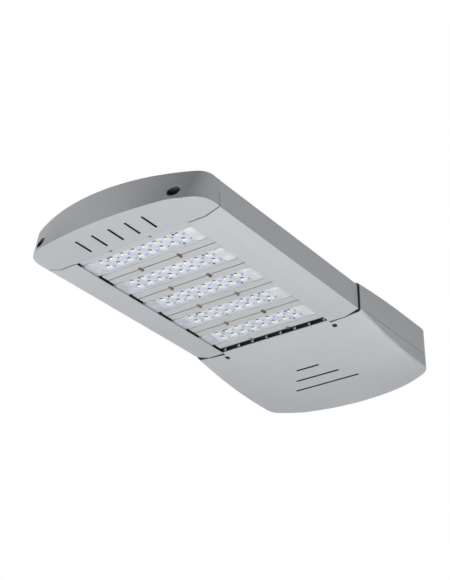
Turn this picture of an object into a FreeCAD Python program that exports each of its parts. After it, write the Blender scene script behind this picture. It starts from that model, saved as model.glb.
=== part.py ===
import FreeCAD, Part
import math
import os
from FreeCAD import Vector

# Street light head that shines down from the end of a pole. Origin at the mouth of the
# pole socket, +X out of the socket along the pole, +Z up. Millimetres.

# Lengths along X of the two castings, their half width and the height of the emitters
housing_length = 266.0
nose_length = 76.6
casting_half = 160.0
optics_z = -14.0

# Underside that the nose and the rails share
face_drop = 5.4
strip_width = 24.8
strip_rise = 7.3

# Rails
rail_step = 2.8
rail_gap = 4.5
rail_wall = 3.0
rail_height = 45.0
seat_width = 10.0
seat_step = 6.0
port_offset = 1.5
port_z = 10.0
port_wall = 3.5
joint_gap = 0.3

# Nose casting
nose_step = 0.6
nose_arc_r = 690.0
nose_corner_r = 56.0
nose_height = 46.0
nose_lean = 2.3
nose_top_arc_r = 304.0
nose_top_corner_r = 25.0
nose_wall = 3.0
nose_top_r = 2.0
bulkhead = 4.0
tunnel_r = 8.6
tunnel_wall = 3.0
nose_slot_count = 5
nose_slot_pitch = 30.0
nose_slot_length = 34.6
nose_slot_width = 3.6
nose_slot_from_seam = 15.6
lip_length = 6.0
ledge_depth = 16.5

# Light modules
module_count = 5
module_pitch = 73.0
module_gap = 0.8
module_half_length = 99.0
module_lap = 3.5
flange_drop = 3.2
flange_thickness = 3.0
base_half = 28.5
base_thickness = 6.2
fin_count = 8
fin_pitch = 7.4
fin_thickness = 1.8
fin_height = 36.0
pocket_half = 21.5
pocket_depth = 2.0
channel_half = 17.2
channel_top = 2.6

# Board and emitters
board_half = 14.0
board_half_length = 84.0
board_thickness = 1.6
chip_size = 3.6
chip_height = 1.0
led_columns = 8
led_pitch = 20.0
row_pitch = 17.0

# Lens plate
plate_half = 16.5
plate_drop = 1.6
plate_wall = 1.5
rim_width = 1.6
dome_length = 13.4
dome_width = 11.4
dome_height = 4.6
dome_shoulder = 3.2
dome_shoulder_share = 0.72
cap_length = 21.6
cap_margin = 0.9
cap_half = 18.6
cap_drop = 3.6
cap_corner_r = 6.0
cap_bevel = 0.9
cap_clearance = 0.2
gasket_thickness = 0.6

# Cross bars between the rails
bar_width = 14.0
bar_thickness = 6.0
bar_margin = 0.5
bar_screw_r = 2.5
bar_screw_grip = 4.0
bar_screw_head_r = 4.4
bar_screw_head = 3.5

# Module screws
module_screw_y = 35.9
module_screw_edge = 3.1
module_screw_r = 2.0
module_screw_head_r = 2.7
module_screw_head = 2.0
module_screw_grip = 5.0

# Vent gap between the last module and the housing
vent_gap = 17.5
rib_count = 8
rib_pitch = 27.5
rib_thickness = 2.6
rib_drop = 2.6
rib_height = 9.0
seal_thickness = 2.0
seal_margin = 0.2
seal_top = 12.0

# Driver housing
housing_arc_r = 340.0
housing_corner_r = 24.0
housing_wall = 3.2
housing_top_r = 6.0
seam_height = 4.0
roof_front = 49.5
roof_level = 56.0
roof_run = 150.0

# Driver cover
cover_wall = 3.0
cover_gap = 0.8
cover_flat_half = 100.0
cover_rise = 4.5
cover_edge_r = 6.5
cover_front = 5.4
cover_level = 27.0
cover_run = 200.0
cover_slots = ((97.0, 42.0), (128.0, 82.0), (159.0, 123.0))
cover_slot_width = 3.8
cover_screw_x = 11.0
cover_screw_y = 105.0
cover_screw_r = 2.5
cover_screw_head_r = 3.9
cover_screw_head = 3.5
cover_screw_length = 14.0
cover_hole_r = 4.2
cover_boss_r = 7.0
cover_pad = 3.0
seal_inset = 1.0
seal_width = 1.8
hook_y = 95.0
hook_width = 24.0
hook_thickness = 3.0
hook_reach = 4.4
hook_height = 11.0
lug_low = 3.0
lug_height = 4.7

# Pole socket and its bolts
socket_bore_r = 30.5
socket_wall = 5.0
socket_length = 105.0
socket_clearance = 1.0
socket_stop = 3.0
socket_stop_r = 24.0
foot_half = 56.0
foot_bottom = 23.0
foot_top = 33.0
foot_length = 24.0
foot_places = (-32.0, -86.0)
foot_bolt_y = 46.0
foot_bolt_r = 4.0
foot_bolt_head_r = 6.5
foot_bolt_head = 5.5
foot_bolt_grip = 7.0
foot_boss_r = 8.0
set_bolt_angle = 60.0
set_bolt_r = 4.0
set_bolt_head_r = 6.5
set_bolt_head = 5.5
set_bolt_stand = 3.0
set_boss_r = 9.0
set_boss_height = 9.0

# Gear on its tray inside the housing
tray_top = 26.0
tray_thickness = 1.5
tray_near = 14.0
tray_far = 150.0
tray_half = 114.0
tray_screw_y = 104.0
tray_screw_inset = 8.0
tray_screw_r = 2.0
tray_screw_head_r = 3.6
tray_screw_head = 2.5
tray_screw_grip = 6.0
tray_boss_r = 5.0
driver_near = 22.0
driver_width = 64.0
driver_half = 82.0
driver_height = 32.0
driver_bevel = 2.0
gear_tab = 12.0
gear_tab_width = 30.0
gear_tab_thickness = 2.0
gear_screw_r = 2.0
gear_screw_head_r = 3.6
gear_screw_head = 2.5
gear_screw_grip = 4.0
small_gear_near = 100.0
small_gear_y = 52.0
terminal_size = (26.0, 50.0, 16.0)
terminal_ways = 5
terminal_pitch = 9.0
terminal_well_r = 2.8
terminal_well_depth = 9.0
surge_size = (34.0, 46.0, 24.0)
surge_corner_r = 4.0

# Fittings in the housing's front wall
fitting_z = 24.0
gland_y = -62.0
gland_r = 8.0
gland_bore_r = 4.0
gland_hex_r = 11.0
gland_hex = 5.0
gland_dome_r = 9.0
gland_dome = 9.0
valve_y = 62.0
valve_r = 6.0
valve_hex_r = 9.0
valve_hex = 3.0
valve_cap_r = 7.5
valve_cap = 4.0
fitting_tail = 6.0

# Long screws that join the rails to the two castings
rail_screw_r = 2.0
rail_screw_length = 24.0
rail_screw_head_r = 3.5
rail_screw_head = 4.0
rail_screw_key = 1.7
rail_screw_key_depth = 2.0
rail_screw_play = 0.15

# Clearances that the fasteners share
slack = 0.2
thread_gap = 0.05

# Derived places
rear_x = 0.0
seam_x = rear_x - housing_length
array_end = seam_x - vent_gap
array_start = array_end - module_count * module_pitch
nose_x = array_start + module_lap
front_x = nose_x - nose_length
rail_half = casting_half - rail_step
nose_half = rail_half + nose_step
kink_y = rail_half - strip_width
rail_inner = module_half_length + rail_gap
seat_end = rail_inner + seat_width
rail_box_inner = seat_end + seat_step
port_y = rail_box_inner + port_offset
bar_half_length = seat_end - bar_margin
bar_screw_y = rail_inner + seat_width / 2
cap_end = rail_inner - cap_margin
cap_start = cap_end - cap_length
face_z = optics_z - face_drop
flange_z = optics_z - flange_drop
flange_top = flange_z + flange_thickness
rail_top = optics_z + rail_height
port_height = optics_z + port_z
seam_z = optics_z + seam_height
rim_z = seam_z + cover_gap
strip_slope = strip_rise / (rail_half - kink_y)
socket_r = socket_bore_r + socket_wall
rail_screw_hole_r = rail_screw_r + rail_screw_play
far = 400.0
margin = 10.0
up = Vector(0, 0, 1)
ahead = Vector(1, 0, 0)


def box(x0, x1, y0, y1, z0, z1):
    return Part.makeBox(x1 - x0, y1 - y0, z1 - z0, Vector(x0, y0, z0))


def rod(x, y, z, r, length, direction=up):
    return Part.makeCylinder(r, length, Vector(x, y, z), direction)


def peg(x, y, z, r, length, direction=up, sides=6):
    # small round pin or hole with few faces, its corners at the radius
    turns = [2 * math.pi * i / sides for i in range(sides + 1)]
    ring = Part.makePolygon([Vector(r * math.cos(a), r * math.sin(a), 0) for a in turns])
    body = Part.Face(ring).extrude(Vector(0, 0, length))
    body.Placement = FreeCAD.Placement(Vector(x, y, z), FreeCAD.Rotation(up, direction))
    return body


def screw(place, direction, r, length, head_r, head, sides=8):
    # place is the middle of the seat under the head, direction the way the shank points
    start = place - direction * head
    cap = peg(start.x, start.y, start.z, head_r, head, direction, sides)
    return fuse([cap, peg(place.x, place.y, place.z, r, length, direction)])


def fuse(shapes):
    return shapes[0].fuse(shapes[1:]).removeSplitter()


def polygon(points, run):
    return Part.Face(Part.makePolygon(points + points[:1])).extrude(run)


def spread(count, pitch):
    # places along a line, centred on zero
    return [(i - (count - 1) / 2) * pitch for i in range(count)]


def save(name, shape):
    shape.exportStep("parts/%s.step" % name)
    print("%-20s %2d solids %10.1f mm3 valid %s" % (name, len(shape.Solids), shape.Volume, shape.isValid()))


def tiers(rings, tip=None):
    # solid with flat faces between level rings of points that match one to one, flat or pointed at its end
    loops = [rings[0]]
    for a, b in zip(rings, rings[1:]):
        loops += [[a[i - 1], a[i], b[i], b[i - 1]] for i in range(len(a))]
    last = rings[-1]
    loops += [[last[i - 1], last[i], tip] for i in range(len(last))] if tip else [last]
    solid = Part.makeSolid(Part.makeShell([Part.Face(Part.makePolygon(loop + loop[:1])) for loop in loops]))
    return solid if solid.Volume > 0 else solid.reversed()


def rounded_ring(x0, x1, y0, y1, z, r):
    # corner points of a rectangle at height z whose corners turn in two flat steps
    short = r * (1 - math.sqrt(0.5))
    points = []
    for sx, sy in ((1, 1), (-1, 1), (-1, -1), (1, -1)):
        x = x1 if sx > 0 else x0
        y = y1 if sy > 0 else y0
        corner = [Vector(x, y - sy * r, z), Vector(x - sx * short, y - sy * short, z),
                  Vector(x - sx * r, y, z)]
        points += corner if sx == sy else corner[::-1]
    return points


def eased(start, start_z, level, level_z, y):
    # arc along X that leaves one height and meets a level run without a corner
    rise = level_z - start_z
    r = ((level - start) ** 2 + rise ** 2) / (2 * rise)
    middle = (start + level) / 2
    middle_z = level_z - r + r * math.sqrt(1 - ((level - middle) / r) ** 2)
    points = [Vector(start, y, start_z), Vector(middle, y, middle_z), Vector(level, y, level_z)]
    return Part.Arc(*points).toShape()


def profile(arc, z):
    # face between an eased arc with its level run and the height z
    first = arc.Vertexes[0].Point
    last = arc.Vertexes[-1].Point
    rear = rear_x + margin
    points = [last, Vector(rear, last.y, last.z), Vector(rear, last.y, z), Vector(first.x, last.y, z), first]
    return Part.Face(Part.Wire([arc] + [Part.makeLine(a, b) for a, b in zip(points, points[1:])]))


def outline(apex, arc_r, corner_r, half, side, reach=far):
    # closed plan: a wide arc with its apex on the centre line, two tighter corners, straight sides
    across = half - corner_r
    along = math.sqrt((arc_r - corner_r) ** 2 - across ** 2)
    centre = apex - side * arc_r
    corner = centre + side * along
    turn = math.atan2(across, along)
    touch_x = centre + side * arc_r * math.cos(turn)
    touch_y = arc_r * math.sin(turn)
    half_turn = (turn + math.pi / 2) / 2
    bend_x = corner + side * corner_r * math.cos(half_turn)
    bend_y = across + corner_r * math.sin(half_turn)
    back = apex - side * reach
    places = [(corner, -half), (bend_x, -bend_y), (touch_x, -touch_y), (apex, 0), (touch_x, touch_y),
              (bend_x, bend_y), (corner, half)]
    points = [Vector(x, y, 0) for x, y in places]
    edges = [Part.Arc(*points[i:i + 3]).toShape() for i in (0, 2, 4)]
    ends = [points[6], Vector(back, half, 0), Vector(back, -half, 0), points[0]]
    edges += [Part.makeLine(a, b) for a, b in zip(ends, ends[1:])]
    return Part.Wire(edges)


def prism(wire, z0, z1):
    face = Part.Face(wire)
    face.translate(up * z0)
    return face.extrude(up * (z1 - z0))


def rim_edges(solid, wire, z0, z1):
    # edges that run along a plan outline between two heights
    picked = []
    for edge in solid.Edges:
        middle = (edge.FirstParameter + edge.LastParameter) / 2
        point = edge.valueAt(middle)
        level = abs(edge.tangentAt(middle).z) < 0.7
        if level and z0 < point.z < z1 and Part.Vertex(point.x, point.y, 0).distToShape(wire)[0] < 0.01:
            picked.append(edge)
    return picked


def soften(solid, plan, r, z0, z1):
    # rounds the rim along a plan outline in three steps, which keeps its faces few
    wide = r * (2 - math.sqrt(2))
    narrow = r * (math.sqrt(2) - 1 - math.tan(math.pi / 16))
    solid = solid.makeChamfer(wide, rim_edges(solid, plan(0.0), z0, z1))
    edges = rim_edges(solid, plan(0.0), z0, z1) + rim_edges(solid, plan(wide), z0, z1)
    return solid.makeChamfer(narrow, edges)


# Nose casting: a hollow cap with the rails' underside, two screw tunnels and the ledge of the first module

def nose_shell(inset):
    # wall that is upright at the sides and leans back towards the front and its corners
    half = nose_half - inset
    low = front_x + inset
    high = low + nose_lean
    foot = outline(low, nose_arc_r - inset, nose_corner_r - inset, half, -1, nose_x + 1 - low)
    brow = outline(high, nose_top_arc_r - inset, nose_top_corner_r - inset, half, -1, nose_x + 1 - high)
    foot.translate(up * (face_z - 1))
    brow.translate(up * (optics_z + nose_height - inset))
    return Part.makeLoft([foot, brow], True, True)


def nose_block(inset, rear):
    top = optics_z + nose_height - inset
    half = casting_half + margin
    low = face_z + inset
    side_z = low + strip_slope * (half - kink_y)
    lid = top + margin
    section = [(-kink_y, low), (kink_y, low), (half, side_z), (half, lid), (-half, lid), (-half, side_z)]
    points = [Vector(front_x - margin, y, z) for y, z in section]
    return nose_shell(inset).common(polygon(points, Vector(rear - front_x + margin, 0, 0)))


def nose_slot(y):
    r = nose_slot_width / 2
    end = nose_x - nose_slot_from_seam - r
    start = end - nose_slot_length + 2 * r
    low = face_z - 1
    depth = nose_wall + 2
    body = box(start, end, y - r, y + r, low, low + depth)
    return fuse([body, peg(start, y, low, r, depth, up, 8), peg(end, y, low, r, depth, up, 8)])


def nose_cap():
    top = optics_z + nose_height
    outer = nose_block(0.0, nose_x)
    brow = [e for e in outer.Edges if e.BoundBox.ZMin > top - 1 and e.BoundBox.XMin < nose_x - 1]
    outer = outer.makeFillet(nose_top_r, brow)
    mouth_half = port_y - tunnel_r - tunnel_wall - nose_wall
    mouth = box(nose_x - 2 * bulkhead, nose_x + 1, -mouth_half, mouth_half, face_z + nose_wall,
                top - nose_wall)
    pieces = [outer.cut([nose_block(nose_wall, nose_x - bulkhead), mouth])]
    for s in (-1, 1):
        tube = peg(front_x, s * port_y, port_height, tunnel_r + tunnel_wall, nose_length, ahead, 8)
        pieces.append(tube.common(outer))
    ledge_end = array_start + bar_width / 2
    ledge_top = flange_top + bar_thickness
    ledge_start = ledge_end - ledge_depth
    pieces.append(box(ledge_start, ledge_end, 1 - rail_inner, rail_inner - 1, flange_top, ledge_top))
    pieces.append(box(ledge_start, nose_x - joint_gap, -port_y, port_y, flange_top, ledge_top))
    tools = [nose_slot(y) for y in spread(nose_slot_count, nose_slot_pitch)]
    for s in (-1, 1):
        tools.append(rod(front_x - 1, s * port_y, port_height, tunnel_r, nose_length + 1 - bulkhead, ahead))
        tools.append(peg(front_x, s * port_y, port_height, rail_screw_hole_r, nose_length + 1, ahead, 8))
        x = array_start + module_screw_edge
        y = s * module_screw_y
        tools.append(peg(x, y, flange_top - 1, module_screw_r + thread_gap, bar_thickness + 2))
        tools.append(peg(x, y, face_z - 1, module_screw_head_r + slack, face_drop))
    tools.append(box(nose_x - lip_length, nose_x + 1, -rail_inner, rail_inner, flange_z - joint_gap,
                     flange_top))
    return fuse(pieces).cut(tools)


# Rails: closed box extrusions with a seat for the cross bars and a screw port in the inner wall

def rail(side):
    edge = face_z + strip_rise
    floor = face_z + rail_wall
    inner_y = rail_box_inner + rail_wall
    outer_y = rail_half - rail_wall
    outer = [(rail_inner, face_z), (kink_y, face_z), (rail_half, edge), (rail_half, rail_top),
             (rail_box_inner, rail_top), (rail_box_inner, floor), (seat_end, floor), (seat_end, flange_top),
             (rail_inner, flange_top)]
    inner = [(inner_y, floor), (kink_y, floor), (outer_y, floor + strip_slope * (outer_y - kink_y)),
             (outer_y, rail_top - rail_wall), (inner_y, rail_top - rail_wall)]
    run = seal_face() - nose_x
    body = polygon([Vector(nose_x, side * y, z) for y, z in outer], ahead * run)
    hollow = polygon([Vector(nose_x, side * y, z) for y, z in inner], ahead * run)
    port = peg(nose_x, side * port_y, port_height, rail_screw_r + port_wall, run, ahead, 8)
    bores = [peg(nose_x - 1, side * port_y, port_height, rail_screw_r + thread_gap, run + 2, ahead, 8)]
    for k in range(1, module_count + 1):
        bores.append(peg(bar_x(k), side * bar_screw_y, flange_top - bar_screw_grip, bar_screw_r + thread_gap,
                         bar_screw_grip + 1))
    return fuse([body.cut(hollow), port]).cut(bores)


# Cross bars, one under each seam between two modules

def bar_x(k):
    return array_start + k * module_pitch


def bar_holes(x, edges):
    holes = []
    for s in (-1, 1):
        holes.append(peg(x, s * bar_screw_y, flange_top - 1, bar_screw_r + slack, bar_thickness + 2))
        for edge in edges:
            holes.append(peg(x + edge, s * module_screw_y, flange_top - 1, module_screw_r + thread_gap,
                             bar_thickness + 2))
    return holes


def cross_bar(k):
    x = bar_x(k)
    half = bar_width / 2
    bar = box(x - half, x + half, -bar_half_length, bar_half_length, flange_top, flange_top + bar_thickness)
    return bar.cut(bar_holes(x, (-module_screw_edge, module_screw_edge)))


def bar_screws():
    seat = flange_top + bar_thickness
    places = [Vector(bar_x(k), s * bar_screw_y, seat) for k in range(1, module_count + 1) for s in (-1, 1)]
    length = bar_thickness + bar_screw_grip
    return Part.makeCompound([screw(p, -up, bar_screw_r, length, bar_screw_head_r, bar_screw_head, 6)
                              for p in places])


# Light modules: finned extrusion, board with emitters, gasket and moulded lens plate

def module_x(k):
    return array_start + (k + 0.5) * module_pitch


def module_screw_places(k):
    edge = module_pitch / 2 - module_screw_edge
    return [(module_x(k) + sx * edge, sy * module_screw_y) for sx in (-1, 1) for sy in (-1, 1)]


def heatsink(k):
    # one extrusion along Y: flange, lens pocket, board channel and upright fins
    half = (module_pitch - module_gap) / 2
    pocket = flange_z + pocket_depth
    floor = optics_z + channel_top
    base = flange_top + base_thickness
    right = [(channel_half, floor), (channel_half, pocket), (pocket_half, pocket), (pocket_half, flange_z),
             (half, flange_z), (half, flange_top), (base_half, flange_top), (base_half, base)]
    fin_top = optics_z + fin_height
    comb = []
    for fin_x in reversed(spread(fin_count, fin_pitch)):
        x0 = fin_x - fin_thickness / 2
        x1 = fin_x + fin_thickness / 2
        comb += [(x1, base), (x1, fin_top), (x0, fin_top), (x0, base)]
    left = [(-px, pz) for px, pz in reversed(right)]
    x = module_x(k)
    points = [Vector(x + px, -module_half_length, pz) for px, pz in right + comb + left]
    body = polygon(points, Vector(0, 2 * module_half_length, 0))
    return body.cut([peg(hx, hy, flange_z - 1, module_screw_r + slack, flange_thickness + 2)
                     for hx, hy in module_screw_places(k)])


def board(k):
    x = module_x(k)
    top = optics_z + channel_top
    return box(x - board_half, x + board_half, -board_half_length, board_half_length, top - board_thickness,
               top)


def emitter_places(k):
    return [(module_x(k) + row, y) for row in spread(2, row_pitch) for y in spread(led_columns, led_pitch)]


def emitters(k):
    top = optics_z + channel_top - board_thickness
    half = chip_size / 2
    return Part.makeCompound([box(x - half, x + half, y - half, y + half, top - chip_height, top)
                              for x, y in emitter_places(k)])


def dome(x, y, z):
    # oblong lens, eight-sided to keep its faces few, its base just inside the plate
    turns = [math.pi / 8 + 2 * math.pi * i / 8 for i in range(8)]
    rings = []
    for level, share in ((z + thread_gap, 1.0), (z - dome_shoulder, dome_shoulder_share)):
        a = share * dome_width / 2
        b = share * dome_length / 2
        rings.append([Vector(x + a * math.cos(t), y + b * math.sin(t), level) for t in turns])
    return tiers(rings, Vector(x, y, z - dome_height))


def end_cap(x, y0, y1, low, top):
    # moulded cap with rounded corners and a bevelled face
    rings = []
    for inset, z in ((0.0, top), (0.0, low + cap_bevel), (cap_bevel, low)):
        rings.append(rounded_ring(x - cap_half + inset, x + cap_half - inset, y0 + inset, y1 - inset, z,
                                  cap_corner_r - inset))
    return tiers(rings)


def lens_plate(k):
    x = module_x(k)
    face = optics_z - plate_drop
    top = optics_z + channel_top - gasket_thickness
    ledge = flange_z + pocket_depth - cap_clearance
    low = optics_z - cap_drop
    plate = box(x - plate_half, x + plate_half, 1 - cap_end, cap_end - 1, face, top)
    room_x = plate_half - rim_width
    room_y = board_half_length + 1
    hollow = box(x - room_x, x + room_x, -room_y, room_y, face + plate_wall, top + 1)
    pieces = [plate.cut(hollow)]
    for s in (-1, 1):
        y0, y1 = sorted((s * cap_start, s * cap_end))
        pieces.append(end_cap(x, y0, y1, low, ledge))
    pieces += [dome(px, py, face) for px, py in emitter_places(k)]
    return fuse(pieces)


def lens_gasket(k):
    x = module_x(k)
    top = optics_z + channel_top
    ring = box(x - plate_half, x + plate_half, 1 - cap_end, cap_end - 1, top - gasket_thickness, top)
    room_x = plate_half - rim_width
    room_y = board_half_length + 1
    return ring.cut(box(x - room_x, x + room_x, -room_y, room_y, top - 1, top + 1))


def module_screws():
    length = flange_thickness + module_screw_grip
    places = [Vector(x, y, flange_z) for k in range(module_count) for x, y in module_screw_places(k)]
    return Part.makeCompound([screw(p, up, module_screw_r, length, module_screw_head_r, module_screw_head, 6)
                              for p in places])


# Vent gap: ribs that stand across it and carry the last module's ledge, in front of the housing's rubber seal

def seal_face():
    return seam_x - seal_thickness


def vent_grille():
    half = bar_width / 2
    pieces = [box(array_end - half, array_end + half, -bar_half_length, bar_half_length, flange_top,
                  flange_top + bar_thickness)]
    for y in spread(rib_count, rib_pitch):
        y0 = y - rib_thickness / 2
        y1 = y + rib_thickness / 2
        pieces.append(box(array_end - half, seal_face(), y0, y1, flange_top, flange_top + rib_height))
        pieces.append(box(array_end + module_gap, seal_face(), y0, y1, flange_top - rib_drop, flange_top + 1))
    return fuse(pieces).cut(bar_holes(array_end, (-module_screw_edge,)))


def bevelled(y, z, r, step):
    # corner of a half section at (y, z), turned in two flat steps, step is the way up or down to it
    short = r * (1 - math.sqrt(0.5))
    return [(y, z - step * r), (y - short, z - step * short), (y - r, z)]


def front_seal():
    # plate between rails and housing out to the larger of their outlines, cut low between the rails
    half = casting_half - seal_margin
    low = optics_z - cover_front + seal_margin
    top = optics_z + roof_front - seal_margin
    level = optics_z + seal_top
    side = bevelled(half, low + cover_rise, cover_edge_r, -1)[::-1] + bevelled(half, top, housing_top_r, 1)
    slope = cover_rise / (casting_half - cover_flat_half)
    meet = (strip_slope * kink_y - slope * cover_flat_half) / (strip_slope - slope)
    side = [(kink_y, low), (meet, low + strip_slope * (meet - kink_y))] + side
    side += [(rail_inner, top), (rail_inner, level)]
    points = side + [(-y, z) for y, z in reversed(side)]
    plate = polygon([Vector(seal_face(), y, z) for y, z in points], ahead * seal_thickness)
    return plate.cut([peg(seal_face() - 1, s * port_y, port_height, rail_screw_hole_r, seal_thickness + 2,
                          ahead, 8) for s in (-1, 1)])


# Driver housing and its cover

def housing_outline(inset):
    return outline(rear_x - inset, housing_arc_r - inset, housing_corner_r - inset, casting_half - inset, 1)


def roof_block(inset, low):
    # roof that rises from the seam in one arc and then runs level
    half = casting_half + margin
    front = optics_z + roof_front - inset
    arc = eased(seam_x, front, seam_x + roof_run, optics_z + roof_level - inset, -half)
    return profile(arc, low).extrude(Vector(0, 2 * half, 0))


def cover_block(inset, top):
    # underside that deepens in one arc and then runs level, flat in the middle and rising to both sides
    start_z = optics_z - cover_front + inset
    level_z = optics_z - cover_level + inset
    side = casting_half + margin - cover_flat_half
    lift = cover_rise * side / (casting_half - cover_flat_half)
    pieces = []
    for s in (-1, 1):
        face = profile(eased(seam_x, start_z, seam_x + cover_run, level_z, s * cover_flat_half), top + lift)
        pieces.append(face.extrude(Vector(0, s * side, lift)))
        if s < 0:
            pieces.append(face.extrude(Vector(0, 2 * cover_flat_half, 0)))
    return pieces[0].fuse(pieces[1:])


def walled(inset, z0, z1):
    # plan of the housing between two heights, its front face moved in by the inset too
    plan = prism(housing_outline(inset), z0, z1)
    return plan.common(box(seam_x + inset, rear_x + margin, -casting_half, casting_half, z0, z1))


def ring(inset, width, z0, z1):
    return walled(inset, z0, z1).cut(walled(inset + width, z0 - 1, z1 + 1))


def hook_boxes(z0, z1):
    half = hook_width / 2
    return [box(rear_x - casting_half, rear_x, s * hook_y - half, s * hook_y + half, z0, z1) for s in (-1, 1)]


def hook_ring(inset, width, z0, z1):
    hoop = ring(inset, width, z0, z1)
    return [hoop.common(b) for b in hook_boxes(z0, z1)]


def pole_opening():
    return rod(rear_x - casting_half / 2, 0, 0, socket_r + socket_clearance, casting_half, ahead)


def driver_housing():
    top = optics_z + roof_level + margin
    outer = roof_block(0.0, rim_z).common(walled(0.0, rim_z, top))
    outer = soften(outer, housing_outline, housing_top_r, optics_z + roof_front - housing_top_r, top)
    room = roof_block(housing_wall, rim_z - margin).common(walled(housing_wall, rim_z - margin, top))
    pieces = [outer.cut(room)]
    bosses = []
    for s in (-1, 1):
        for x in tray_screw_x():
            bosses.append(peg(x, s * tray_screw_y, tray_top, tray_boss_r, top - tray_top, up, 8))
        for x in foot_places:
            bosses.append(peg(x, s * foot_bolt_y, foot_top, foot_boss_r, top - foot_top, up, 8))
        x = seam_x + cover_screw_x
        y = s * cover_screw_y
        boss_top = rim_z + cover_screw_length
        bosses.append(peg(x, y, rim_z, cover_boss_r, cover_screw_length, up, 8))
        bosses.append(box(seam_x + 1, x, y - cover_pad, y + cover_pad, rim_z, boss_top))
    pieces += [b.common(outer) for b in bosses]
    lug = rim_z + lug_low
    pieces += hook_ring(housing_wall - slack, hook_reach + slack - joint_gap, lug, lug + lug_height)
    tools = [pole_opening()]
    for s in (-1, 1):
        for x in tray_screw_x():
            tools.append(peg(x, s * tray_screw_y, tray_top - 1, tray_screw_r + thread_gap,
                             tray_screw_grip + 1))
        for x in foot_places:
            tools.append(peg(x, s * foot_bolt_y, foot_top - 1, foot_bolt_r + thread_gap, foot_bolt_grip + 1))
        tools.append(peg(seam_x + cover_screw_x, s * cover_screw_y, rim_z - 1, cover_screw_r + thread_gap,
                         cover_screw_length - 2))
        tools.append(peg(seam_x - 1, s * port_y, port_height, rail_screw_hole_r, housing_wall + 2, ahead, 8))
    for y, r in ((gland_y, gland_r), (valve_y, valve_r)):
        tools.append(peg(seam_x - 1, y, optics_z + fitting_z, r + slack, housing_wall + 2, ahead, 8))
    return fuse(pieces).cut(tools)


def cover_slot(distance, length):
    x = seam_x + distance
    r = cover_slot_width / 2
    end = length / 2 - r
    low = optics_z - cover_level - 1
    depth = seam_z - low
    body = box(x - r, x + r, -end, end, low, low + depth)
    return fuse([body, peg(x, -end, low, r, depth, up, 8), peg(x, end, low, r, depth, up, 8)])


def driver_cover():
    low = optics_z - cover_level - margin
    outer = cover_block(0.0, seam_z).common(walled(0.0, low, seam_z)).removeSplitter()
    outer = soften(outer, housing_outline, cover_edge_r, low, seam_z - 0.5)
    room = cover_block(cover_wall, seam_z + margin).common(walled(cover_wall, low, seam_z + margin))
    pieces = [outer.cut(room)]
    seat = seam_z - cover_pad
    tools = [pole_opening()]
    tools += [cover_slot(distance, length) for distance, length in cover_slots]
    for s in (-1, 1):
        x = seam_x + cover_screw_x
        y = s * cover_screw_y
        pieces.append(peg(x, y, low, cover_boss_r, seam_z - low, up, 8).common(outer))
        tools.append(rod(x, y, low, cover_hole_r, seat - low))
        tools.append(peg(x, y, low, cover_screw_r + slack, seam_z - low + 1))
    foot = hook_reach + hook_thickness + housing_wall - cover_wall + 0.1
    pieces += hook_ring(cover_wall - 0.1, foot, seam_z - 6, seam_z - 2)
    pieces += hook_ring(housing_wall + hook_reach, hook_thickness, seam_z - 6, rim_z + hook_height)
    barb = rim_z + lug_low + lug_height + joint_gap
    reach = hook_reach + hook_thickness - joint_gap
    pieces += hook_ring(housing_wall + joint_gap, reach, barb, rim_z + hook_height)
    return fuse(pieces).cut(tools)


def cover_gasket():
    return ring(seal_inset, seal_width, seam_z, rim_z).cut(pole_opening())


def cover_screws():
    seat = seam_z - cover_pad
    x = seam_x + cover_screw_x
    length = cover_pad + cover_gap + cover_screw_length - 4
    return Part.makeCompound([screw(Vector(x, s * cover_screw_y, seat), up, cover_screw_r, length,
                                    cover_screw_head_r, cover_screw_head) for s in (-1, 1)])


# Screws along X that hold the rails to the castings

def rail_screw(place, direction):
    shank = peg(place.x, place.y, place.z, rail_screw_r, rail_screw_length, direction, 8)
    start = place - direction * rail_screw_head
    head = peg(start.x, start.y, start.z, rail_screw_head_r, rail_screw_head, direction, 12)
    key = peg(start.x, start.y, start.z, rail_screw_key, rail_screw_key_depth, direction)
    return fuse([head, shank]).cut(key)


def nose_screws():
    return Part.makeCompound([rail_screw(Vector(nose_x - bulkhead, s * port_y, port_height), ahead)
                              for s in (-1, 1)])


def housing_screws():
    return Part.makeCompound([rail_screw(Vector(seam_x + housing_wall, s * port_y, port_height), -ahead)
                              for s in (-1, 1)])


# Gear on its tray

def tray_screw_x():
    return (seam_x + tray_near + tray_screw_inset, seam_x + tray_far - tray_screw_inset)


def gear_tray():
    low = tray_top - tray_thickness
    tray = box(seam_x + tray_near, seam_x + tray_far, -tray_half, tray_half, low, tray_top)
    holes = [peg(x, s * tray_screw_y, tray_top - 2, tray_screw_r + slack, 3)
             for x in tray_screw_x() for s in (-1, 1)]
    holes += [peg(x, y, tray_top - 2, gear_screw_r + thread_gap, 3) for x, y in gear_screw_places()]
    return tray.cut(holes)


def tray_screws():
    seat = tray_top - tray_thickness
    length = tray_thickness + tray_screw_grip - 1
    return Part.makeCompound([screw(Vector(x, s * tray_screw_y, seat), up, tray_screw_r, length,
                                    tray_screw_head_r, tray_screw_head)
                              for x in tray_screw_x() for s in (-1, 1)])


def gear_bodies():
    # name, near end, width along X, middle in Y, half length in Y
    return {
        "driver": (driver_near, driver_width, 0.0, driver_half),
        "terminal": (small_gear_near, terminal_size[0], -small_gear_y, terminal_size[1] / 2),
        "surge": (small_gear_near, surge_size[0], small_gear_y, surge_size[1] / 2),
    }


def gear_screws_of(name):
    near, width, y, half = gear_bodies()[name]
    return [(seam_x + near + width / 2, y + s * (half + gear_tab / 2)) for s in (-1, 1)]


def gear_screw_places():
    return [place for name in gear_bodies() for place in gear_screws_of(name)]


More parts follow.
